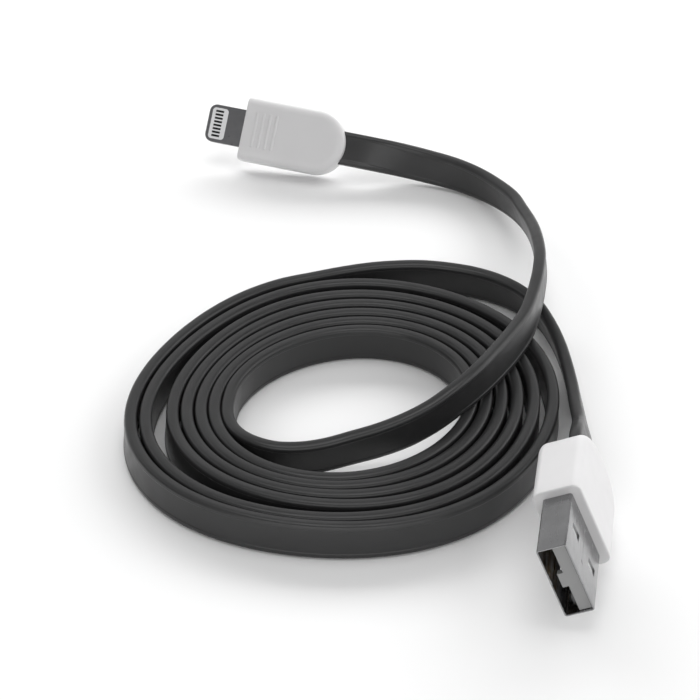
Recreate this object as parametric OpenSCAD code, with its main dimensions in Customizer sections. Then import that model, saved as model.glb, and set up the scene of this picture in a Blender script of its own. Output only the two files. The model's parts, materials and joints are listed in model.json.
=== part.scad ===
// Flat charging cable, wound on edge into a spiral coil.
// One end has a standard A plug, the other a slim eight-contact phone plug.

/* [Flat cable] */
// Width of the flat jacket, which stands upright in the coil
cable_w = 6; // [5:0.5:7]
// Thickness of the flat jacket
cable_t = 2; // [1.6:0.1:2.1]
// Diameter of one insulated wire inside the jacket
wire_d = 0.9; // [0.7:0.1:1]

/* [Coil] */
// Place of the coil's centre, left and right
coil_x = -2; // [-4:0.1:4]
// Place of the coil's centre, front and back
coil_y = -17; // [-20:0.1:-10]
// Mean radius of the turns where the coil starts
coil_r = 33.6; // [33:0.1:34]
// Distance from the outermost turn to the next one
turn_pitch = 2.84; // [2.8:0.01:2.88]
// How much the turns close up towards the middle
turn_closing = 0.055; // [0.04:0.005:0.06]
// How far the coil is pulled into an oval
coil_oval = 1.1; // [0:0.1:1.2]
// Direction of the oval's long axis
coil_oval_dir = 38; // [30:1:45]
// How far the outer turns are pulled towards three rounded corners
coil_lobes = 0.65; // [0:0.05:0.8]
// Direction of the first of the three corners
coil_lobe_dir = 83; // [75:1:90]
// How far the outer turns are pulled towards four rounded corners
coil_square = 0.4; // [0:0.1:0.5]
// Direction of the first of the four corners
coil_square_dir = 24; // [15:1:30]

/* [A plug] */
// Width of the metal shell
a_shell_w = 12; // [12:0.1:12.2]
// Thickness of the metal shell
a_shell_t = 4.5; // [4.5:0.1:4.6]
// Sheet thickness of the metal shell
a_shell_wall = 0.3; // [0.25:0.05:0.35]
// Length of shell that stands out of the housing
a_exposed = 12.2; // [11.8:0.1:12.6]
// Whole length of the shell
a_shell_len = 18.7; // [18:0.1:19]
// Width of the housing
a_housing_w = 14.4; // [14.2:0.1:15]
// Thickness of the housing
a_housing_t = 7.4; // [7:0.1:8]
// Length of the housing
a_housing_len = 17; // [16.5:0.1:18]
// Length of the housing's round end
a_housing_round = 6; // [4:0.5:6]

/* [Phone plug] */
// Width of the blade
b_blade_w = 6.7; // [6.6:0.1:6.8]
// Thickness of the blade
b_blade_t = 1.5; // [1.4:0.1:1.6]
// Length of blade that stands out of the housing
b_exposed = 6.9; // [6.6:0.1:7]
// Number of contacts on each face of the blade
b_contact_count = 8; // [8]
// Distance between neighbouring contacts
b_contact_pitch = 0.63; // [0.6:0.01:0.65]
// Width of the housing
b_housing_w = 11.2; // [10.8:0.1:11.6]
// Thickness of the housing
b_housing_t = 5.4; // [5.2:0.1:6]
// Length of the housing
b_housing_len = 18.6; // [18.4:0.1:19]
// Length of the housing's round end
b_housing_round = 5.6; // [4:0.2:6]

/* [Hidden] */
$fn = 32;
eps = 0.01;

// Angles of the spiral: it starts at the back and ends on the left, six and a bit turns later.
coil_start = 100;
coil_end = 2340;
coil_step = 5;
// Shift of all turns to the left, and the further slip of the inner turns towards the front
// left, which builds up between two spiral angles.
coil_shift = 0.4;
coil_shift_dir = 175;
turn_slip = 0.6;
turn_slip_dir = 235;
slip_start = 440;
slip_end = 760;

// Pose of each plug: a point on its axis, its turn about Z, its pitch and its lean.
a_mouth = [29.7, -47.7, 9.25];
a_turn = -8;
a_pitch = -3;
a_lean = -23;
b_back = [-1, 73, 5.5];
b_turn = -104.3;
b_pitch = -4;
b_lean = -38;

// Route of each loose lead from the coil's centre: x, y, z and outward lean of the jacket.
lead_a_route = [
    [35.1, -8.5, 5, -18], [35, -2.5, 3.7, -15], [34.8, 3.5, 3.1, -13], [34.3, 9.5, 3.1, -14],
    [33.6, 15, 3.1, -15], [32.4, 20.5, 3.1, -16], [30.6, 25.6, 3.1, -15], [27.7, 29.8, 3.1, -12],
    [24.2, 32.7, 3.1, -9], [20.5, 34.6, 3.1, -7], [16.4, 35.8, 3.1, -5], [12, 36.5, 3.1, -4],
    [7.6, 36.4, 3.1, -3], [3.2, 35.8, 3.1, -2], [-1.2, 34.8, 3, 0]];
lead_b_route = [
    [-19.1, -4.1, 3, 0], [-17.8, -8.2, 3, 0], [-15, -11, 3.1, 1], [-11.4, -12.4, 3.1, 3],
    [-7.5, -12.5, 3.2, 5], [-4, -12, 3.5, 6], [0, -11.2, 4.2, 5], [4.3, -10.4, 5.1, 3],
    [8.5, -9.2, 6.2, 0], [12.5, -7.1, 7.3, 0], [16.1, -4.4, 8.5, -2], [19.4, -0.9, 9.2, -6],
    [22.3, 3.5, 9.3, -10], [25, 8.3, 9.3, -10], [27.4, 13.5, 9.3, -7], [29, 19.2, 9.3, -5],
    [30.2, 25.2, 9.3, -4], [30.9, 31.3, 8.9, -5], [31, 37.4, 8, -9], [30.7, 43.7, 6.7, -14],
    [29.8, 49.8, 5.5, -18], [28.3, 55.7, 4.5, -13], [25.6, 61, 3.7, -9], [22.3, 65.1, 3.3, -2],
    [18.3, 68.1, 3.3, 5], [13.7, 70.2, 3.5, 12], [8.6, 71.6, 4.1, 19]];

// Where things lie along a plug's own axis, counted from its tip.
a_base_start = 12.8;
a_base_end = 17.6;
a_shield_end = 23.6;
a_cable_start = 24;
a_crimp_end = 27;
a_tail_end = 20.4;
a_back = a_exposed + a_housing_len;
a_straight_end = 33;
b_blade_end = 9.8;
b_shield_end = 17.8;
b_cable_start = 20.6;
b_crimp_start = 20.8;
b_crimp_end = 23.2;
b_back_end = b_exposed + b_housing_len;
b_straight_end = 29;

// Outer sizes and sheet of the metal cans, and the corners of shell and housings.
a_can_t = 4.5;
a_can_w = 11.6;
a_can_wall = 0.25;
b_can_t = 3.6;
b_can_w = 8.8;
b_can_wall = 0.2;
a_shell_corner = 0.4;
a_housing_corner = 1.2;
b_housing_corner = 1;
crimp_wall = 0.4;
// Longer, and wider, than any plug; it sizes the blocks that cut one in half.
reach = 40;

// Contact places across the A plug, and the matching wires across the cable.
a_contact_z = [-3.5, -1, 1, 3.5];
a_contact_w = 1;
a_contact_t = 0.25;
a_contact_x = -0.1;
a_contact_front = [1.4, 2.4, 2.4, 1.4];
wire_z = [-2, -0.67, 0.67, 2];
solder_t = wire_d + 0.2;
solder_len = 1.2;
a_tongue_face = 0.05;
a_tongue_back_gap = 0.05;

// Pad, board and wire places in the phone plug.
b_pad_w = 5.6;
b_pad_len = 2.9;
b_pad_start = 0.55;
b_pad_corner = 0.6;
b_board_t = 0.6;
b_contact_w = 0.36;
b_contact_len = 1.45;
b_contact_start = 1.15;
b_contact_proud = 0.02;
b_board_end = 17.2;
b_board_w = 8;
b_tongue_w = 5.4;
b_solder_end = 16.8;

// Colours
jacket_grey = [0.24, 0.24, 0.25];
housing_white = [0.93, 0.93, 0.92];
steel = [0.66, 0.66, 0.67];
dark_steel = [0.42, 0.42, 0.43];
pad_grey = [0.82, 0.82, 0.82];
contact_black = [0.08, 0.08, 0.08];
gold = [0.83, 0.66, 0.3];
board_green = [0.1, 0.35, 0.2];
chip_black = [0.1, 0.1, 0.1];
mould_clear = [0.85, 0.84, 0.8];
brass = [0.72, 0.6, 0.35];
red = [0.75, 0.1, 0.1];
white = [0.9, 0.9, 0.88];
green = [0.1, 0.5, 0.2];
black = [0.06, 0.06, 0.06];

// ---- Places and frames ----

// Radius of the cable's middle line at a spiral angle
function smooth_step(k) = k * k * (3 - 2 * k);
function slipped(a) = smooth_step(min(1, max(0, (a - slip_start) / (slip_end - slip_start))));
function spiral_r(a) =
    let (turns = (a - coil_start) / 360,
         left = (coil_end - a) / (coil_end - coil_start),
         shift = coil_shift * cos(a - coil_shift_dir)
                 + turn_slip * slipped(a) * cos(a - turn_slip_dir),
         oval = coil_oval * cos(2 * (a - coil_oval_dir)),
         corners = coil_lobes * cos(3 * (a - coil_lobe_dir))
                   + coil_square * cos(4 * (a - coil_square_dir)))
    coil_r - turn_pitch * turns + turn_closing * turns * turns + shift + oval + left * corners;
function spiral_point(a, side = 0) =
    let (r = spiral_r(a) + side * cable_t / 2)
    [r * cos(a), r * sin(a)];

// Direction of a plug's axis, from its tip to its back
function plug_axis(turn, pitch) = [-sin(turn) * cos(pitch), cos(turn) * cos(pitch), sin(pitch)];
function a_point(y) = a_mouth + plug_axis(a_turn, a_pitch) * y;
function b_point(y) = b_back + plug_axis(b_turn, b_pitch) * (y - b_back_end);

module from_coil() {
    translate([coil_x, coil_y, 0]) children();
}

// A plug's own frame: tip at y = 0, back towards +y, wide side upright
module at_a() {
    from_coil() translate(a_mouth) rotate([0, 0, a_turn]) rotate([a_pitch, 0, 0])
        rotate([0, a_lean, 0]) children();
}
module at_b() {
    from_coil() translate(b_point(0)) rotate([0, 0, b_turn]) rotate([b_pitch, 0, 0])
        rotate([0, b_lean, 0]) children();
}

// ---- Shared shapes ----

// Box from y0 to y1, centred on x and z
module slab(t, y0, y1, w) {
    translate([-t / 2, y0, -w / 2]) cube([t, y1 - y0, w]);
}

// Rectangle with round corners, centred
module round_rect(w, h, r) {
    square([w - 2 * r, h], center = true);
    square([w, h - 2 * r], center = true);
    for (sx = [-1, 1], sy = [-1, 1])
        translate([sx * (w / 2 - r), sy * (h / 2 - r)]) circle(r);
}

// Bar along y with a round-cornered section
module round_bar(t, w, r, y0, y1) {
    translate([0, y1, 0]) rotate([90, 0, 0]) linear_extrude(y1 - y0) round_rect(t, w, r);
}

// Round rod between two points
module rod(p, q, d) {
    v = q - p;
    translate(p) rotate([0, acos(v[2] / norm(v)), atan2(v[1], v[0])]) cylinder(d = d, h = norm(v));
}

// Section of the flat jacket: flat faces with round edges
function jacket_section() =
    let (t = cable_t / 2, w = cable_w / 2, cut = cable_t * 0.2)
    [[t, cut - w], [t, w - cut], [t - cut, w], [cut - t, w],
     [-t, w - cut], [-t, cut - w], [cut - t, -w], [t - cut, -w]];

// Straight length of the jacket along a plug's axis
module jacket_bar(y0, y1) {
    translate([0, y1, 0]) rotate([90, 0, 0]) linear_extrude(y1 - y0) polygon(jacket_section());
}

// Outline of a housing seen on its wide face: straight front, round back
module housing_outline(w, y0, y1, round_len) {
    round_steps = 24;
    polygon(concat(
        [[y0, -w / 2]],
        [for (i = [0 : round_steps])
            let (a = -90 + 180 * i / round_steps)
            [y1 - round_len + round_len * cos(a), w / 2 * sin(a)]],
        [[y0, w / 2]]));
}

// Solid block of a housing
module housing_block(t, w, r, y0, y1, round_len) {
    intersection() {
        round_bar(t, w, r, y0, y1);
        translate([-t / 2, 0, 0]) rotate([90, 0, 90])
            linear_extrude(t) housing_outline(w, y0, y1, round_len);
    }
}

// ---- Tube swept along a route ----

function unit(v) = v / norm(v);
function xyz(p) = [p[0], p[1], p[2]];
function route_dir(pts, i) =
    unit(xyz(pts[min(i + 1, len(pts) - 1)]) - xyz(pts[max(i - 1, 0)]));
function ring(pts, i) =
    let (dir = route_dir(pts, i),
         out = unit(cross(dir, [0, 0, 1])),
         up = cross(out, dir),
         lean = pts[i][3],
         wide = up * cos(lean) + out * sin(lean),
         thin = out * cos(lean) - up * sin(lean))
    [for (s = jacket_section()) xyz(pts[i]) + thin * s[0] + wide * s[1]];

module tube(pts) {
    n = len(pts);
    sides = len(jacket_section());
    points = [for (i = [0 : n - 1]) each ring(pts, i)];
    walls = [for (i = [0 : n - 2], j = [0 : sides - 1], half = [0, 1])
        let (k = (j + 1) % sides, a = i * sides, b = a + sides)
        half == 0 ? [a + j, a + k, b + k] : [a + j, b + k, b + j]];
    first = [for (j = [sides - 1 : -1 : 0]) j];
    last = [for (j = [0 : sides - 1]) (n - 1) * sides + j];
    polyhedron(points, concat([first], walls, [last]));
}

// ---- Flat cable ----

// Point on a plug's axis as a route point
function axis_stop(p, lean) = [p[0], p[1], p[2], lean];
function coil_stop(a) = [spiral_point(a)[0], spiral_point(a)[1], cable_w / 2, 0];

module cable_lead_a() {
    color(jacket_grey) from_coil() tube(concat(
        [for (y = [a_cable_start, a_back, a_straight_end]) axis_stop(a_point(y), a_lean)],
        lead_a_route,
        [coil_stop(coil_start)]));
}

module cable_coil() {
    outer = [for (a = [coil_start : coil_step : coil_start + 360]) spiral_point(a, 1)];
    inner = [for (a = [coil_end - 360 : coil_step : coil_end]) spiral_point(a, -1)];
    color(jacket_grey) from_coil() difference() {
        linear_extrude(cable_w) polygon(outer);
        translate([0, 0, -1]) linear_extrude(cable_w + 2) polygon(inner);
    }
}

module cable_lead_b() {
    color(jacket_grey) from_coil() tube(concat(
        [coil_stop(coil_end)],
        lead_b_route,
        [for (y = [b_straight_end, b_back_end, b_cable_start]) axis_stop(b_point(y), -b_lean)]));
}

// ---- A plug ----

module a_shell() {
    window_y = 6.4;
    window_z = 3.2;
    window_len = 1.6;
    window_w = 2.5;
    color(steel) at_a() difference() {
        round_bar(a_shell_t, a_shell_w, a_shell_corner, 0, a_shell_len);
        round_bar(a_shell_t - 2 * a_shell_wall, a_shell_w - 2 * a_shell_wall,
                  a_shell_corner - a_shell_wall, -1, a_shell_len + 1);
        for (z = [-window_z, window_z])
            translate([0, window_y - window_len / 2, z]) slab(a_shell_t + 2, 0, window_len, window_w);
    }
}

// Space that one contact and its tail take up
module a_contact_strip(i) {
    translate([a_contact_x, a_contact_front[i], a_contact_z[i] - a_contact_w / 2])
        cube([a_contact_t, a_tail_end - a_contact_front[i], a_contact_w]);
}

module a_tongue() {
    inside_t = a_shell_t - 2 * a_shell_wall;
    inside_w = a_shell_w - 2 * a_shell_wall;
    tongue_w = inside_w - 0.2;
    front = 0.35;
    lug_w = 2.4;
    lug_t = 0.9;
    color(pad_grey) at_a() difference() {
        union() {
            translate([a_tongue_face, front, -tongue_w / 2])
                cube([inside_t / 2 - a_tongue_face - a_tongue_back_gap, a_base_start, tongue_w]);
            slab(inside_t, a_base_start, a_base_end, inside_w - 2 * eps);
            translate([a_tongue_face - lug_t, front, -lug_w / 2]) cube([lug_t + eps, lug_t, lug_w]);
        }
        for (i = [0 : 3]) a_contact_strip(i);
    }
}

module a_contact(i) {
    color(gold) at_a() a_contact_strip(i);
}
module a_contact_power() { a_contact(0); }
module a_contact_data_minus() { a_contact(1); }
module a_contact_data_plus() { a_contact(2); }
module a_contact_ground() { a_contact(3); }

// Wire in a plug: a block of solder on the face at x, ending at joint_end, then the wire from
// there, inwards from z0 to z1, to the cut end of the flat cable
module wire(x, joint_end, cable_start, z0, z1) {
    start = [x + solder_t / 2, joint_end - 0.1, z0];
    stop = [0, cable_start, z1];
    intersection() {
        union() {
            translate([x, joint_end - solder_len, z0 - solder_t / 2])
                cube([solder_t, solder_len, solder_t]);
            rod(start, stop + unit(stop - start), wire_d);
        }
        slab(reach, 0, cable_start, reach);
    }
}

module a_wire(i, colour) {
    color(colour) at_a()
        wire(a_contact_x + a_contact_t, a_tail_end, a_cable_start, a_contact_z[i], wire_z[i]);
}
module a_wire_power() { a_wire(0, red); }
module a_wire_data_minus() { a_wire(1, white); }
module a_wire_data_plus() { a_wire(2, green); }
module a_wire_ground() { a_wire(3, black); }

// Block that holds the solder joints, with channels for tails and wires
module a_inner_mould() {
    color(mould_clear) difference() {
        at_a() slab(a_can_t - 2 * a_can_wall - 0.1, a_base_end, a_shield_end, a_can_w - 2 * a_can_wall - 0.1);
        for (i = [0 : 3]) {
            at_a() a_contact_strip(i);
            a_wire(i, white);
        }
    }
}

// Everything on one side of a plug's middle plane; side is 1 or -1
module half_space(side) {
    translate([side * reach / 2, 0, 0]) slab(reach, 0, reach, reach);
}

// Folded half of the metal can behind the shell; side is 1 for the upper half
module a_shield(side) {
    color(steel) at_a() intersection() {
        difference() {
            slab(a_can_t, a_shell_len, a_shield_end, a_can_w);
            slab(a_can_t - 2 * a_can_wall, a_shell_len - 1, a_shield_end + 1, a_can_w - 2 * a_can_wall);
        }
        half_space(side);
    }
}
module a_shield_upper() { a_shield(1); }
module a_shield_lower() { a_shield(-1); }

// Band that grips the jacket inside a plug
module crimp_space(y0, y1) {
    round_bar(cable_t + 2 * crimp_wall, cable_w + 2 * crimp_wall, 2 * crimp_wall, y0, y1);
}
module crimp_band(y0, y1) {
    difference() {
        crimp_space(y0, y1);
        jacket_bar(y0 - 1, y1 + 1);
    }
}

module a_crimp() {
    color(brass) at_a() crimp_band(a_cable_start, a_crimp_end);
}

module a_housing() {
    color(housing_white) at_a() difference() {
        housing_block(a_housing_t, a_housing_w, a_housing_corner, a_exposed, a_back, a_housing_round);
        round_bar(a_shell_t, a_shell_w, a_shell_corner, 0, a_shell_len);
        slab(a_can_t, a_shell_len - eps, a_shield_end, a_can_w);
        crimp_space(a_shield_end - eps, a_crimp_end);
        jacket_bar(a_cable_start, a_back + 1);
    }
}

// ---- Phone plug ----

// Outline of the blade: round corners at the tip
module blade_outline() {
    corner = 1.3;
    side = b_blade_w / 2 - corner;
    translate([corner, -b_blade_w / 2]) square([b_blade_end - corner, b_blade_w]);
    translate([0, -side]) square([b_blade_end, 2 * side]);
    for (z = [-side, side]) translate([corner, z]) circle(corner);
}

// Flat plate on the wide plane, from a 2D outline drawn in y and z
module plate(x0, x1) {
    translate([x0, 0, 0]) rotate([90, 0, 90]) linear_extrude(x1 - x0) children();
}

module pad_outline() {
    translate([b_pad_start + b_pad_len / 2, 0]) round_rect(b_pad_len, b_pad_w, b_pad_corner);
}

module b_blade() {
    color(dark_steel) at_b() difference() {
        plate(-b_blade_t / 2, b_blade_t / 2) blade_outline();
        plate(-b_blade_t, b_blade_t) pad_outline();
        slab(b_board_t, b_pad_start + 1, b_blade_end + 1, b_tongue_w);
    }
}

// Contacts on one face of the blade; side is 1 for the front face
module contact_row(side) {
    for (i = [0 : b_contact_count - 1]) {
        z = (i - (b_contact_count - 1) / 2) * b_contact_pitch;
        x = side > 0 ? b_board_t / 2 : -b_blade_t / 2 - b_contact_proud;
        translate([x, b_contact_start, z - b_contact_w / 2])
            cube([b_blade_t / 2 - b_board_t / 2 + b_contact_proud, b_contact_len, b_contact_w]);
    }
}

module b_pad(side) {
    color(pad_grey) at_b() difference() {
        plate(side > 0 ? b_board_t / 2 : -b_blade_t / 2, side > 0 ? b_blade_t / 2 : -b_board_t / 2)
            pad_outline();
        contact_row(side);
    }
}
module b_pad_front() { b_pad(1); }
module b_pad_back() { b_pad(-1); }

module b_contacts_front() {
    color(contact_black) at_b() contact_row(1);
}
module b_contacts_back() {
    color(contact_black) at_b() contact_row(-1);
}

module b_board() {
    color(board_green) at_b() union() {
        slab(b_board_t, b_pad_start + 0.05, b_blade_end + 0.1, b_tongue_w);
        slab(b_board_t, b_blade_end, b_board_end, b_board_w);
    }
}

module b_chip() {
    chip = 2.6;
    chip_t = 0.7;
    color(chip_black) at_b() translate([b_board_t / 2, 10.6, -chip / 2]) cube([chip_t, chip, chip]);
}

// Small resistors and capacitors on the board's two faces
module b_board_parts() {
    part_len = 1;
    part_w = 0.5;
    color([0.55, 0.45, 0.35]) at_b() {
        for (z = [-3.1, -2.2, 2.2, 3.1])
            translate([b_board_t / 2, 10.8, z - part_w / 2]) cube([part_w, part_len, part_w]);
        for (i = [0 : 4])
            translate([-b_board_t / 2 - part_w, 11, (i - 2) * 1.3 - part_w / 2])
                cube([part_w, part_len, part_w]);
    }
}

// Half of the metal can round the board; side is 1 for the front half
module b_shield(side) {
    color(steel) at_b() intersection() {
        difference() {
            slab(b_can_t, b_blade_end, b_shield_end, b_can_w);
            slab(b_can_t - 2 * b_can_wall, b_blade_end + b_can_wall, b_shield_end + 1,
                 b_can_w - 2 * b_can_wall);
            slab(b_board_t, b_blade_end - 1, b_blade_end + 1, b_tongue_w + 0.2);
        }
        half_space(side);
    }
}
module b_shield_front() { b_shield(1); }
module b_shield_back() { b_shield(-1); }

module b_wire(i, colour) {
    color(colour) at_b() wire(b_board_t / 2, b_solder_end, b_cable_start, wire_z[i], wire_z[i]);
}
module b_wire_power() { b_wire(0, red); }
module b_wire_data_minus() { b_wire(1, white); }
module b_wire_data_plus() { b_wire(2, green); }
module b_wire_ground() { b_wire(3, black); }

module b_inner_mould() {
    color(mould_clear) difference() {
        at_b() slab(b_can_t - 2 * b_can_wall, b_board_end, b_cable_start, b_can_w - 2 * b_can_wall);
        for (i = [0 : 3]) b_wire(i, white);
    }
}

module b_crimp() {
    color(brass) at_b() crimp_band(b_crimp_start, b_crimp_end);
}

module b_housing() {
    rib_count = 4;
    rib_start = b_exposed + 1.9;
    rib_pitch = 1.2;
    rib_w = 0.6;
    rib_len = 6.4;
    rib_proud = 0.15;
    color(housing_white) at_b() difference() {
        union() {
            housing_block(b_housing_t, b_housing_w, b_housing_corner, b_exposed, b_back_end,
                          b_housing_round);
            for (i = [0 : rib_count - 1])
                translate([0, rib_start + i * rib_pitch, 0])
                    slab(b_housing_t + 2 * rib_proud, 0, rib_w, rib_len);
        }
        slab(b_blade_t, b_exposed - 1, b_blade_end, b_blade_w);
        slab(b_can_t, b_blade_end - eps, b_shield_end, b_can_w);
        slab(b_can_t - 2 * b_can_wall, b_shield_end - eps, b_crimp_start, b_can_w - 2 * b_can_wall);
        crimp_space(b_crimp_start - eps, b_crimp_end);
        jacket_bar(b_crimp_start, b_back_end + 1);
    }
}

a_shell();
a_tongue();
a_contact_power();
a_contact_data_minus();
a_contact_data_plus();
a_contact_ground();
a_shield_upper();
a_shield_lower();
a_inner_mould();
a_crimp();
a_housing();
a_wire_power();
a_wire_data_minus();
a_wire_data_plus();
a_wire_ground();
b_blade();
b_pad_front();
b_pad_back();
b_contacts_front();
b_contacts_back();
b_board();
b_chip();
b_board_parts();
b_shield_front();
b_shield_back();
b_inner_mould();
b_crimp();
b_housing();
b_wire_power();
b_wire_data_minus();
b_wire_data_plus();
b_wire_ground();
cable_lead_a();
cable_coil();
cable_lead_b();
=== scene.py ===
import json
from math import copysign, cos, pi, radians, sin, sqrt

import bmesh
import bpy
from mathutils import Matrix, Vector


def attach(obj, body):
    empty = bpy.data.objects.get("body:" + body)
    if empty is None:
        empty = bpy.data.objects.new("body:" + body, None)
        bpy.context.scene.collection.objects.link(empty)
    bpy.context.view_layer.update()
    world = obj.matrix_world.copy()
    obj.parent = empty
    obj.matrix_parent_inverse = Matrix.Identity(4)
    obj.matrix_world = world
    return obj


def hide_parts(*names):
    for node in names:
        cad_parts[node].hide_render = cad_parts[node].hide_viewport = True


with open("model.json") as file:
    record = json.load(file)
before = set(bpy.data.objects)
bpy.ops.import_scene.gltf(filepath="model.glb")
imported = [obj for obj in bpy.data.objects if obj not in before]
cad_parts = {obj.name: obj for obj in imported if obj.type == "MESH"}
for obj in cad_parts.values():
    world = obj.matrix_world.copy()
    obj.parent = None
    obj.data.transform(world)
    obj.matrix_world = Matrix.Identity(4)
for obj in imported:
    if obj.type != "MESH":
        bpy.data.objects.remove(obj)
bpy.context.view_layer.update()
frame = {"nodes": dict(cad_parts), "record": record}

MM = 0.001

# ---- Driving dimensions, in millimetres, the same as the CAD model's where it has them ----

# Flat cable: width, thickness of its two rounded edges and of the web between them
CABLE_W, CABLE_T, WEB_T = 6, 2, 1.9

# Coil: centre, radius where it starts, spacing, and the rule of its shape
COIL = Vector((-2, -17, 0))
COIL_R = 33.6
TURN_PITCH = 2.84
TURN_CLOSING = 0.055
SHIFT, SHIFT_DIR = 0.4, 175
SLIP, SLIP_DIR, SLIP_START, SLIP_END = 0.6, 235, 440, 760
OVAL, OVAL_DIR = 1.1, 38
LOBES, LOBE_DIR = 0.65, 83
SQUARE, SQUARE_DIR = 0.4, 24
# How far each turn in order is pressed inwards on the left, about one direction
PRESSED, PRESSED_DIR, PRESSED_SPAN = (0, -0.3, 1.35, 1.1, 0.7, 0.3, 0), 210, 100
# Where the jacket leans in the coil: the most lean, the spiral angle it has it at, and the reach
LEANS = ((-6, 240, 140), (-6, 925, 90))
# Spiral angles of the coil's two ends, and from one stop of the route to the next
COIL_START, COIL_END, COIL_STEP = 100, 2340, 11

# Poses of the plugs: a point on the axis, turn about Z, pitch and lean
A_MOUTH = Vector((29.7, -47.7, 9.25))
A_TURN, A_PITCH, A_LEAN = -8, -3, -23
B_BACK = Vector((-1, 73, 5.5))
B_TURN, B_PITCH, B_LEAN = -104.3, -4, -38

# Lengths along each plug's axis, from its tip
A_EXPOSED, A_HOUSING_LEN, A_SHELL_LEN, A_CABLE_START = 12.2, 17, 18.7, 24
A_BACK = A_EXPOSED + A_HOUSING_LEN
A_STRAIGHT_END = 33
B_EXPOSED, B_HOUSING_LEN, B_CABLE_START = 6.9, 18.6, 20.6
B_BACK_END = B_EXPOSED + B_HOUSING_LEN
B_STRAIGHT_END = 29

# Housings: thickness, width, how far the long edges are rounded in each, and the round end
A_HOUSING_T, A_HOUSING_W, A_HOUSING_EDGE, A_HOUSING_ROUND = 7.4, 14.4, (1.3, 1.3), 6
B_HOUSING_T, B_HOUSING_W, B_HOUSING_EDGE, B_HOUSING_ROUND = 5.4, 11.2, (1.1, 1.7), 5.6
HOUSING_FRONT_EDGE = 0.25

# Grip ribs on the phone plug: the first one's middle, their spacing and size
RIB_COUNT, RIB_FIRST, RIB_PITCH = 4, B_EXPOSED + 2.2, 1.2
RIB_W, RIB_LEN, RIB_PROUD = 0.55, 6.4, 0.15

# A plug's metal shell
A_SHELL_T, A_SHELL_W, A_SHELL_WALL, A_SHELL_CORNER = 4.5, 12, 0.3, 0.4
# Its windows: centres, size along the plug and across it
WINDOW_Y, WINDOW_Z, WINDOW_LEN, WINDOW_W = 6.4, 3.2, 1.6, 2.5
# Its seam, and its pressed pips: places along the plug, and height and radius of each level
SEAM_HALF_W, SEAM_DEPTH = 0.08, 0.07
PIP_Y, PIP_LEVELS = (3.6, 11.1), ((-0.1, 0.4), (0.02, 0.36), (0.05, 0.26), (0.06, 0.1))

# Loose leads, from the coil's centre: x, y, z and the jacket's lean
LEAD_A = [
    (35.1, -8.5, 5, -18), (35, -2.5, 3.7, -15), (34.8, 3.5, 3.1, -13), (34.3, 9.5, 3.1, -14),
    (33.6, 15, 3.1, -15), (32.4, 20.5, 3.1, -16), (30.6, 25.6, 3.1, -15), (27.7, 29.8, 3.1, -12),
    (24.2, 32.7, 3.1, -9), (20.5, 34.6, 3.1, -7), (16.4, 35.8, 3.1, -5), (12, 36.5, 3.1, -4),
    (7.6, 36.4, 3.1, -3), (3.2, 35.8, 3.1, -2), (-1.2, 34.8, 3, -1)]
LEAD_B = [
    (-19.1, -4.1, 3, 0), (-17.8, -8.2, 3, 0), (-15, -11, 3.1, 1), (-11.4, -12.4, 3.1, 3),
    (-7.5, -12.5, 3.2, 5), (-4, -12, 3.5, 6), (0, -11.2, 4.2, 5), (4.3, -10.4, 5.1, 3),
    (8.5, -9.2, 6.2, 0), (12.5, -7.1, 7.3, 0), (16.1, -4.4, 8.5, -2), (19.4, -0.9, 9.2, -6),
    (22.3, 3.5, 9.3, -10), (25, 8.3, 9.3, -10), (27.4, 13.5, 9.3, -7), (29, 19.2, 9.3, -5),
    (30.2, 25.2, 9.3, -4), (30.9, 31.3, 8.9, -5), (31, 37.4, 8, -9), (30.7, 43.7, 6.7, -14),
    (29.8, 49.8, 5.5, -18), (28.3, 55.7, 4.5, -13), (25.6, 61, 3.7, -9), (22.3, 65.1, 3.3, -2),
    (18.3, 68.1, 3.3, 5), (13.7, 70.2, 3.5, 12), (8.6, 71.6, 4.1, 19)]


# ---- Camera ----

def make_camera():
    """Looks down at the floor just behind the coil's centre, as the photograph does."""
    elevation, distance, lens = 36, 422, 133.7
    target = COIL + Vector((-0.3, 19.8, 0))
    back = Vector((0, -cos(radians(elevation)), sin(radians(elevation))))
    camera = bpy.data.objects.new("camera", bpy.data.cameras.new("camera"))
    camera.data.sensor_width = 36
    camera.data.lens = lens
    camera.data.clip_start, camera.data.clip_end = 0.01, 20
    camera.location = (target + back * distance) * MM
    camera.rotation_euler = (radians(90 - elevation), 0, 0)
    bpy.context.scene.collection.objects.link(camera)
    bpy.context.scene.camera = camera


make_camera()


# ---- Shared mesh helpers ----

def arc(count, first, last):
    """Angles in radians, evenly spaced between two angles given in degrees."""
    return [radians(first + (last - first) * i / count) for i in range(count + 1)]


def add_piece(name, bm, material, matrix=None, smooth_angle=35):
    """Turns a bmesh, in millimetres, into a piece of the object in metres."""
    bm.transform(Matrix.Scale(MM, 4) @ (matrix or Matrix()))
    bmesh.ops.recalc_face_normals(bm, faces=bm.faces)
    mesh = bpy.data.meshes.new(name)
    bm.to_mesh(mesh)
    bm.free()
    piece = bpy.data.objects.new(name, mesh)
    bpy.context.scene.collection.objects.link(piece)
    piece.data.materials.append(material)
    mesh.shade_smooth()
    if smooth_angle:
        mesh.set_sharp_from_angle(angle=radians(smooth_angle))
    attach(piece, "root")
    return piece


def skin_rings(bm, rings, closed_ends=True):
    """Joins rings of points, all of the same count, with quads, and closes the two ends."""
    rows = [[bm.verts.new(p) for p in ring] for ring in rings]
    count = len(rows[0])
    for a, b in zip(rows, rows[1:]):
        for j in range(count):
            k = (j + 1) % count
            bm.faces.new((a[j], a[k], b[k], b[j]))
    if closed_ends:
        bm.faces.new(list(reversed(rows[0])))
        bm.faces.new(rows[-1])
    return rows


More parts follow.
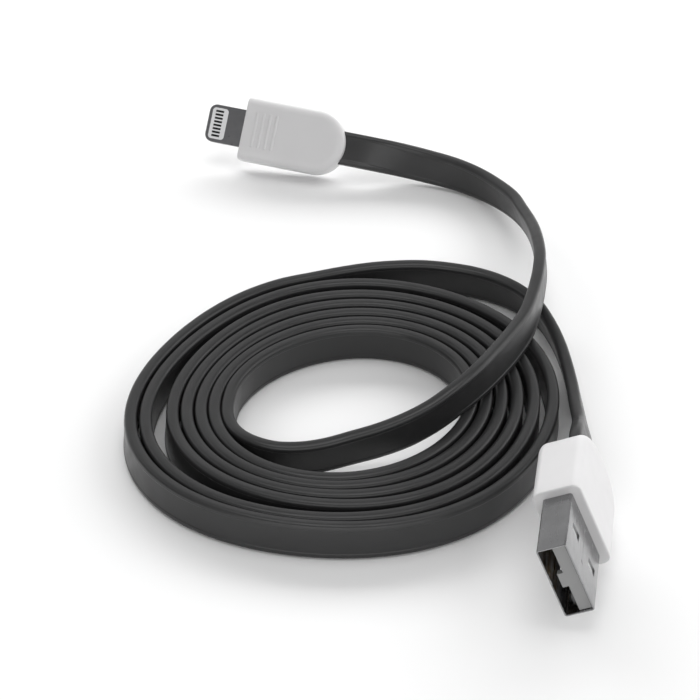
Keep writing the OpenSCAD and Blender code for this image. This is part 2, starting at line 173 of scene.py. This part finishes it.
def plug_matrix(point, turn, pitch, lean):
    """A plug's own frame: tip at y = 0, back towards +y, wide side upright."""
    return (Matrix.Translation(COIL + point) @ Matrix.Rotation(radians(turn), 4, "Z")
            @ Matrix.Rotation(radians(pitch), 4, "X") @ Matrix.Rotation(radians(lean), 4, "Y"))


def plug_axis(turn, pitch):
    """Direction of a plug's axis, from its tip to its back."""
    t, p = radians(turn), radians(pitch)
    return Vector((-sin(t) * cos(p), cos(t) * cos(p), sin(p)))


def a_point(y):
    return A_MOUTH + plug_axis(A_TURN, A_PITCH) * y


def b_point(y):
    return B_BACK + plug_axis(B_TURN, B_PITCH) * (y - B_BACK_END)


AT_A = plug_matrix(A_MOUTH, A_TURN, A_PITCH, A_LEAN)
AT_B = plug_matrix(b_point(0), B_TURN, B_PITCH, B_LEAN)


# ---- Materials ----

# Part of a noise texture's range that nearly all its values are in
NOISE_SPAN = (0.3, 0.7)


def new_material(name, base, roughness, metallic=0.0, specular=0.5):
    """A Principled material; the caller adds its texture nodes."""
    material = bpy.data.materials.new(name)
    material.use_nodes = True
    shader = material.node_tree.nodes["Principled BSDF"]
    shader.inputs["Base Color"].default_value = (*base, 1)
    shader.inputs["Roughness"].default_value = roughness
    shader.inputs["Metallic"].default_value = metallic
    shader.inputs["Specular IOR Level"].default_value = specular
    return material


def texture_tools(material):
    """Functions that add a noise texture, and drive colour, roughness and bump with it."""
    nodes, links = material.node_tree.nodes, material.node_tree.links
    shader = nodes["Principled BSDF"]

    def noise(scale, detail=3, stretch=(1, 1, 1)):
        place = nodes.new("ShaderNodeTexCoord")
        mapping = nodes.new("ShaderNodeMapping")
        mapping.inputs["Scale"].default_value = stretch
        texture = nodes.new("ShaderNodeTexNoise")
        texture.inputs["Scale"].default_value = scale
        texture.inputs["Detail"].default_value = detail
        links.new(place.outputs["Object"], mapping.inputs["Vector"])
        links.new(mapping.outputs["Vector"], texture.inputs["Vector"])
        return texture.outputs["Fac"]

    def tint(value, dark, light):
        ramp = nodes.new("ShaderNodeValToRGB")
        for element, position, colour in zip(ramp.color_ramp.elements, NOISE_SPAN, (dark, light)):
            element.position = position
            element.color = (*colour, 1)
        links.new(value, ramp.inputs["Fac"])
        links.new(ramp.outputs["Color"], shader.inputs["Base Color"])

    def rough(value, low, high):
        ramp = nodes.new("ShaderNodeMapRange")
        ramp.inputs["From Min"].default_value, ramp.inputs["From Max"].default_value = NOISE_SPAN
        ramp.inputs["To Min"].default_value = low
        ramp.inputs["To Max"].default_value = high
        links.new(value, ramp.inputs["Value"])
        links.new(ramp.outputs["Result"], shader.inputs["Roughness"])

    def bump(value, depth):
        node = nodes.new("ShaderNodeBump")
        node.inputs["Strength"].default_value = 1
        node.inputs["Distance"].default_value = depth * MM
        links.new(value, node.inputs["Height"])
        links.new(node.outputs["Normal"], shader.inputs["Normal"])

    return noise, tint, rough, bump


def shade(colour, factor):
    return tuple(min(1, v * factor) for v in colour)


def moulded(name, base, roughness, variation=0.06, grain=0.006, specular=0.5):
    """Moulded plastic or elastomer: slightly uneven gloss and a fine grain, in millimetres deep."""
    material = new_material(name, base, roughness, specular=specular)
    noise, tint, rough, bump = texture_tools(material)
    tint(noise(180), shade(base, 1 - variation), shade(base, 1 + variation))
    rough(noise(420), roughness - 0.05, roughness + 0.06)
    bump(noise(1400), grain)
    return material


def plated(name, base, roughness, stretch=(1, 0.06, 1), grain=0.003):
    """Plated or stamped metal: light wear and fine lines along the axis of least stretch."""
    material = new_material(name, base, roughness, metallic=1)
    noise, tint, rough, bump = texture_tools(material)
    tint(noise(260, 4), shade(base, 0.9), shade(base, 1.08))
    rough(noise(2400, 3, stretch), roughness - 0.07, roughness + 0.1)
    bump(noise(2600, 3, stretch), grain)
    return material


def tongue_plastic_painted_shade():
    """White plastic with painted shade: grey at the tongue's tip, where the mouth's shade falls,
    and its own white further in, where the shell's windows show it.
    """
    # The tip's grey (0.3) is painted shade. It blends into the plastic's own white between these
    # two depths into the plug, in millimetres.
    painted_shade_until, own_white_from, white = 1.5, 3, (0.9, 0.9, 0.9, 1)
    material = moulded("insulator_plastic_painted_shade", (0.3, 0.3, 0.3), 0.5, 0.03)
    nodes, links = material.node_tree.nodes, material.node_tree.links
    shader = nodes["Principled BSDF"]
    painted_shade_tip = shader.inputs["Base Color"].links[0].from_socket
    axis = plug_axis(A_TURN, A_PITCH)
    place = nodes.new("ShaderNodeTexCoord")
    along = nodes.new("ShaderNodeVectorMath")
    along.operation = "DOT_PRODUCT"
    along.inputs[1].default_value = axis
    depth = nodes.new("ShaderNodeMapRange")
    mouth = (COIL + A_MOUTH).dot(axis) * MM
    depth.inputs["From Min"].default_value = mouth + painted_shade_until * MM
    depth.inputs["From Max"].default_value = mouth + own_white_from * MM
    mix = nodes.new("ShaderNodeMix")
    mix.data_type = "RGBA"
    mix.inputs["B"].default_value = white
    links.new(place.outputs["Object"], along.inputs[0])
    links.new(along.outputs["Value"], depth.inputs["Value"])
    links.new(depth.outputs["Result"], mix.inputs["Factor"])
    links.new(painted_shade_tip, mix.inputs["A"])
    links.new(mix.outputs["Result"], shader.inputs["Base Color"])
    return material


MATERIALS = {
    "cable_jacket": moulded("jacket_elastomer", (0.021, 0.021, 0.0215), 0.34, 0.1, 0.0015, 0.55),
    "housing_white": moulded("housing_plastic", (0.69, 0.685, 0.69), 0.4, 0.012, 0.002),
    "shell_steel": plated("shell_nickel", (0.31, 0.31, 0.315), 0.2),
    "shield_steel": plated("shield_tin", (0.55, 0.55, 0.54), 0.34),
    "blade_steel": plated("blade_nickel", (0.15, 0.15, 0.155), 0.34, (1, 1, 0.06)),
    # The insulator's grey tip is painted shade; the plastic itself is white.
    "insulator_grey": tongue_plastic_painted_shade(),
    "pad_grey": moulded("pad_plastic", (0.8, 0.8, 0.81), 0.38, 0.02, 0.002),
    "contact_dark": plated("contact_black", (0.03, 0.03, 0.03), 0.35),
    "contact_gold": plated("contact_gold", (0.62, 0.42, 0.16), 0.3),
    "inner_mould": moulded("mould_milky", (0.70, 0.68, 0.62), 0.45, 0.03),
    "crimp_brass": plated("crimp_brass", (0.62, 0.44, 0.2), 0.35),
    "board_green": moulded("board_mask", (0.02, 0.13, 0.06), 0.25, 0.12, 0.002),
    "chip_black": moulded("chip_epoxy", (0.02, 0.02, 0.021), 0.5, 0.15),
    "board_parts": moulded("chip_ceramic", (0.3, 0.22, 0.15), 0.45, 0.2),
    "wire_red": moulded("wire_red", (0.42, 0.02, 0.02), 0.35, 0.08),
    "wire_white": moulded("wire_white", (0.72, 0.72, 0.69), 0.35, 0.04),
    "wire_green": moulded("wire_green", (0.02, 0.22, 0.06), 0.35, 0.08),
    "wire_black": moulded("wire_black", (0.02, 0.02, 0.02), 0.35, 0.1),
}


def dress_cad_nodes():
    """Gives every CAD node the material of its slot in the record."""
    for part in frame["record"]["subparts"]:
        node = frame["nodes"][part["node"]]
        node.data.materials.clear()
        node.data.materials.append(MATERIALS[part["material_slot"]])


# ---- The flat cable ----

def spiral_stop(a):
    """Point of the jacket's middle line at a spiral angle, with the lean of its upper edge."""
    t = (a - COIL_START) / 360
    left = (COIL_END - a) / (COIL_END - COIL_START)
    slipped = min(1, max(0, (a - SLIP_START) / (SLIP_END - SLIP_START)))
    slipped *= slipped * (3 - 2 * slipped)
    r = (COIL_R - TURN_PITCH * t + TURN_CLOSING * t * t
         + SHIFT * cos(radians(a - SHIFT_DIR)) + SLIP * slipped * cos(radians(a - SLIP_DIR))
         + OVAL * cos(radians(2 * (a - OVAL_DIR)))
         + left * (LOBES * cos(radians(3 * (a - LOBE_DIR)))
                   + SQUARE * cos(radians(4 * (a - SQUARE_DIR)))))
    turn = round((a - PRESSED_DIR) / 360)
    away = abs(a - PRESSED_DIR - 360 * turn)
    r -= PRESSED[turn] * cos(radians(90 * min(1, away / PRESSED_SPAN))) ** 2
    lean = sum(most * max(0, 1 - abs(a - middle) / reach) for most, middle, reach in LEANS)
    return (r * cos(radians(a)), r * sin(radians(a)), CABLE_W / 2, lean)


def route():
    """Listed stops of the leads and computed stops of the coil, from plug to plug."""
    stops = [(*a_point(y), A_LEAN) for y in (A_CABLE_START, A_BACK, A_STRAIGHT_END)]
    stops += LEAD_A
    stops += [spiral_stop(a) for a in range(COIL_START, COIL_END + 1, COIL_STEP)]
    stops += LEAD_B
    stops += [(*b_point(y), -B_LEAN) for y in (B_STRAIGHT_END, B_BACK_END, B_CABLE_START)]
    return [Vector(s) for s in stops]


def smooth_stops(stops, spacing):
    """Points at an even spacing on a centripetal Catmull-Rom curve, and the curve's length."""
    parts = 24
    ends = [stops[0] * 2 - stops[1], *stops, stops[-1] * 2 - stops[-2]]
    fine = []
    for p0, p1, p2, p3 in zip(ends, ends[1:], ends[2:], ends[3:]):
        t0, t1 = 0, (p1 - p0).xyz.length ** 0.5
        t2 = t1 + (p2 - p1).xyz.length ** 0.5
        t3 = t2 + (p3 - p2).xyz.length ** 0.5
        for i in range(parts):
            t = t1 + (t2 - t1) * i / parts
            a1 = p0 * ((t1 - t) / (t1 - t0)) + p1 * ((t - t0) / (t1 - t0))
            a2 = p1 * ((t2 - t) / (t2 - t1)) + p2 * ((t - t1) / (t2 - t1))
            a3 = p2 * ((t3 - t) / (t3 - t2)) + p3 * ((t - t2) / (t3 - t2))
            b1 = a1 * ((t2 - t) / (t2 - t0)) + a2 * ((t - t0) / (t2 - t0))
            b2 = a2 * ((t3 - t) / (t3 - t1)) + a3 * ((t - t1) / (t3 - t1))
            fine.append(b1 * ((t2 - t) / (t2 - t1)) + b2 * ((t - t1) / (t2 - t1)))
    fine.append(stops[-1])
    total = sum((b - a).xyz.length for a, b in zip(fine, fine[1:]))
    step = total / round(total / spacing)
    out, left = [fine[0]], step
    for a, b in zip(fine, fine[1:]):
        length = (b - a).xyz.length
        done = 0
        while length - done >= left and length > 0:
            done += left
            out.append(a.lerp(b, done / length))
            left = step
        left -= length - done
    if (out[-1] - fine[-1]).xyz.length > step / 2:
        out.append(fine[-1])
    else:
        out[-1] = fine[-1]
    return out, total


def jacket_section():
    """Flattened round edges and a slightly thinner flat web, as points across and up the jacket."""
    half_t, edge, flatness, crease = CABLE_T / 2, 0.95, 0.72, 0.12
    centre = CABLE_W / 2 - edge
    upper = [(half_t * copysign(abs(cos(a)) ** flatness, cos(a)),
              centre + edge * abs(sin(a)) ** flatness) for a in arc(24, 0, 180)]
    side = [(-WEB_T / 2, (centre - crease) * k / 2) for k in (2, 1, 0, -1, -2)]
    return upper + side + [(-x, -z) for x, z in upper] + [(-x, -z) for x, z in side]


def make_cable():
    """Sweeps the jacket from plug to plug; returns the piece, its middle line and its length."""
    ring_spacing, crease_angle = 0.9, 14
    points, length = smooth_stops(route(), ring_spacing)
    section = jacket_section()
    bm = bmesh.new()
    rings = []
    for i, p in enumerate(points):
        run = (points[min(i + 1, len(points) - 1)] - points[max(i - 1, 0)]).xyz.normalized()
        out = run.cross(Vector((0, 0, 1))).normalized()
        up = out.cross(run)
        lean = radians(p.w)
        wide = up * cos(lean) + out * sin(lean)
        thin = out * cos(lean) - up * sin(lean)
        rings.append([COIL + p.xyz + thin * x + wide * z for x, z in section])
    skin_rings(bm, rings)
    cable = add_piece("cable_jacket", bm, MATERIALS["cable_jacket"],
                      smooth_angle=crease_angle)
    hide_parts("cable_lead_a", "cable_coil", "cable_lead_b")
    path = [(COIL + p.xyz) * MM for p in points]
    return cable, path, length * MM


cable, cable_path, cable_length = make_cable()
print("cable length", round(cable_length, 4))


# ---- Housings ----

def housing_ring(t, w, edge, y0, y1, round_len, phi):
    """One level of a housing: its outline at the height that phi gives on the edge's round."""
    front_edge, end_steps, corner_steps, parts = HOUSING_FRONT_EDGE, 48, 5, 8
    edge_t, edge_w = edge
    x = (t / 2 - edge_t) * (1 if phi >= 0 else -1) + edge_t * sin(phi)
    inset = edge_w * (1 - cos(phi))
    over = max(0, abs(x) - (t / 2 - front_edge))
    front = y0 + front_edge - sqrt(max(0, front_edge ** 2 - over ** 2))
    half = w / 2 - inset
    centre = y1 - round_len
    ring = [(x, centre + (round_len - inset) * cos(a), half * sin(a))
            for a in arc(end_steps, -90, 90)]
    ring += [(x, centre + (front + front_edge - centre) * k / parts, half)
             for k in range(1, parts)]
    ring += [(x, front + front_edge - front_edge * sin(a), half - front_edge + front_edge * cos(a))
             for a in arc(corner_steps, 0, 90)]
    ring += [(x, front, (half - front_edge) * (1 - 2 * k / parts)) for k in range(1, parts)]
    ring += [(x, front + front_edge - front_edge * cos(a), -half + front_edge - front_edge * sin(a))
             for a in arc(corner_steps, 0, 90)]
    ring += [(x, front + front_edge + (centre - front - front_edge) * k / parts, -half)
             for k in range(1, parts)]
    return ring


def housing_block(bm, t, w, edge, y0, y1, round_len):
    """A housing's solid block; two levels just either side of zero make its straight sides."""
    steps, hair = 14, 1e-9
    levels = arc(steps, -90, 0)[:-1] + [-hair, hair] + arc(steps, 0, 90)[1:]
    skin_rings(bm, [housing_ring(t, w, edge, y0, y1, round_len, phi) for phi in levels])


def grip_rib(bm, side, y):
    """A low rounded bar across one wide face of the phone plug, sunk a little into it.

    Its outline starts just past -90 degrees, so that no point is on the bar's middle line.
    """
    levels = ((-0.1, 0), (RIB_PROUD * 0.45, 0), (RIB_PROUD * 0.85, 0.06), (RIB_PROUD, 0.14))
    rings = []
    for height, inset in levels:
        half_y, half_z = RIB_W / 2 - inset, RIB_LEN / 2 - inset
        rings.append([(side * (B_HOUSING_T / 2 + height), y + half_y * sin(a) * side,
                       (half_z - half_y) * (1 if cos(a) > 0 else -1) + half_y * cos(a))
                      for a in arc(24, -88, 272)[:-1]])
    skin_rings(bm, rings)


def make_a_housing():
    bm = bmesh.new()
    housing_block(bm, A_HOUSING_T, A_HOUSING_W, A_HOUSING_EDGE, A_EXPOSED, A_BACK, A_HOUSING_ROUND)
    piece = add_piece("a_housing_shell", bm, MATERIALS["housing_white"], AT_A)
    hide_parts("a_housing")


def make_b_housing():
    bm = bmesh.new()
    housing_block(bm, B_HOUSING_T, B_HOUSING_W, B_HOUSING_EDGE, B_EXPOSED, B_BACK_END,
                  B_HOUSING_ROUND)
    for side in (-1, 1):
        for i in range(RIB_COUNT):
            grip_rib(bm, side, RIB_FIRST + i * RIB_PITCH)
    piece = add_piece("b_housing_shell", bm, MATERIALS["housing_white"], AT_B)
    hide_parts("b_housing")
    return piece


# ---- Metal shell of the A plug ----

WINDOW_OUT, WINDOW_IN = WINDOW_Z + WINDOW_W / 2, WINDOW_Z - WINDOW_W / 2
# Points across one wide face of the shell, with a break at each edge of a window and at the seam
FACE_Z = (-WINDOW_OUT, -WINDOW_IN, -SEAM_HALF_W, 0, SEAM_HALF_W, WINDOW_IN, WINDOW_OUT)
CORNER_STEPS = 6
# Where the second wide face starts in a ring, after the first face and two corners
FAR_FACE = len(FACE_Z) + 2 * (CORNER_STEPS + 1)


def shell_ring(inset, y):
    """Round-cornered section of the shell, with the seam sunk in the second wide face."""
    half_t, half_w = A_SHELL_T / 2 - inset, A_SHELL_W / 2 - inset
    corner = max(0.1, A_SHELL_CORNER - inset)
    face = [(half_t, z) for z in FACE_Z]
    cx, cz = half_t - corner, half_w - corner
    turn = [(cx + corner * cos(a), cz + corner * sin(a)) for a in arc(CORNER_STEPS, 0, 90)]
    ring = face + turn
    ring += [(-x, z) for x, z in reversed(turn)] + [(-x, z) for x, z in reversed(face)]
    ring += [(-x, -z) for x, z in turn] + [(x, -z) for x, z in reversed(turn)]
    seam = FAR_FACE + len(FACE_Z) // 2
    ring[seam] = (ring[seam][0] + SEAM_DEPTH, ring[seam][1])
    return [(x, y, z) for x, z in ring]


def cut_window(bm, outer, inner, j):
    """Opens the wall between two rows, from their point j to the next, and closes its four rims."""
    for a, b in (outer, inner):
        bm.faces.remove(bm.faces.get((a[j], a[j + 1], b[j + 1], b[j])))
    for row in (0, 1):
        bm.faces.new((outer[row][j], outer[row][j + 1], inner[row][j + 1], inner[row][j]))
    for k in (j, j + 1):
        bm.faces.new((outer[0][k], outer[1][k], inner[1][k], inner[0][k]))


def add_pip(bm, side, y):
    """A small round pip on one wide face of the shell."""
    skin_rings(bm, [[(side * (A_SHELL_T / 2 + height), y + r * sin(a), side * r * cos(a))
                     for a in arc(16, 0, 360)[:-1]] for height, r in PIP_LEVELS])


def make_a_shell():
    """Folded sheet tube with an eased mouth, each level being an inset and a place along it."""
    wall = A_SHELL_WALL
    y0, y1 = WINDOW_Y - WINDOW_LEN / 2, WINDOW_Y + WINDOW_LEN / 2
    outside = [(0.08, 0.02), (0.02, 0.08), (0, 0.2), (0, y0), (0, y1), (0, A_SHELL_LEN)]
    inside = [(wall, A_SHELL_LEN), (wall, y1), (wall, y0), (wall, 0.2),
              (wall - 0.03, 0.08), (wall - 0.1, 0)]
    levels = outside + inside
    bm = bmesh.new()
    rows = skin_rings(bm, [shell_ring(inset, y) for inset, y in levels], closed_ends=False)
    count = len(rows[0])
    for j in range(count):
        k = (j + 1) % count
        bm.faces.new((rows[-1][j], rows[-1][k], rows[0][k], rows[0][j]))
    row_at = dict(zip(levels, rows))
    outer, inner = (row_at[0, y0], row_at[0, y1]), (row_at[wall, y0], row_at[wall, y1])
    last = len(FACE_Z) - 2
    for j in (0, last, FAR_FACE, FAR_FACE + last):
        cut_window(bm, outer, inner, j)
    for side in (-1, 1):
        for y in PIP_Y:
            add_pip(bm, side, y)
    piece = add_piece("a_shell_formed", bm, MATERIALS["shell_steel"], AT_A)
    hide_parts("a_shell")


make_a_housing()
b_housing = make_b_housing()
make_a_shell()
dress_cad_nodes()


# ---- Floor, light and tone ----

def make_floor():
    """Plain pale floor, in metres."""
    bm = bmesh.new()
    bmesh.ops.create_grid(bm, x_segments=8, y_segments=8, size=3)
    mesh = bpy.data.meshes.new("floor")
    bm.to_mesh(mesh)
    bm.free()
    floor = bpy.data.objects.new("floor", mesh)
    bpy.context.scene.collection.objects.link(floor)
    floor.data.materials.append(new_material("floor_white", (0.92, 0.92, 0.92), 0.6, specular=0.1))


def add_softbox(name, place, size, radiance, lights=True, mirrored=True):
    """An area light, in metres, aimed at the object and as bright whatever its size.

    One that doesn't light is a card, seen in reflections only; one that isn't mirrored only lights.
    """
    light = bpy.data.objects.new(name, bpy.data.lights.new(name, "AREA"))
    light.data.shape = "RECTANGLE"
    light.data.size, light.data.size_y = size
    light.data.energy = radiance * pi * size[0] * size[1]
    light.visible_diffuse = lights
    light.visible_glossy = mirrored
    light.location = place
    light.rotation_euler = (Vector() - Vector(place)).to_track_quat("-Z", "Y").to_euler()
    bpy.context.scene.collection.objects.link(light)


def make_light():
    """Soft studio light from all round, strongest from the back, and a dim even world."""
    world = bpy.data.worlds.new("studio")
    world.use_nodes = True
    background = world.node_tree.nodes["Background"]
    background.inputs["Color"].default_value = (1, 1, 1, 1)
    background.inputs["Strength"].default_value = 0.1
    bpy.context.scene.world = world
    add_softbox("softbox_back", (0, 1.1, 0.7), (2.9, 0.55), 5.1, mirrored=False)
    add_softbox("card_back", (-0.2, 1.2, 0.6), (3, 1.1), 0.5, lights=False)
    add_softbox("card_front", (0, -1.5, 0.25), (2.5, 0.5), 1.3, lights=False)
    add_softbox("softbox_front", (0, -1.4, 0.9), (2.5, 0.7), 1.55)
    add_softbox("softbox_above", (0, 0, 1.5), (1.1, 1.1), 1.8)
    add_softbox("softbox_left", (-1.1, 0, 0.9), (1.8, 0.7), 0.5)
    add_softbox("softbox_right", (1.1, 0, 0.9), (1.8, 0.7), 1.2)
    add_softbox("softbox_right_low", (1.3, 0, 0.3), (2.5, 0.45), 1.6)


make_floor()
make_light()
bpy.context.scene.view_settings.view_transform = "Standard"
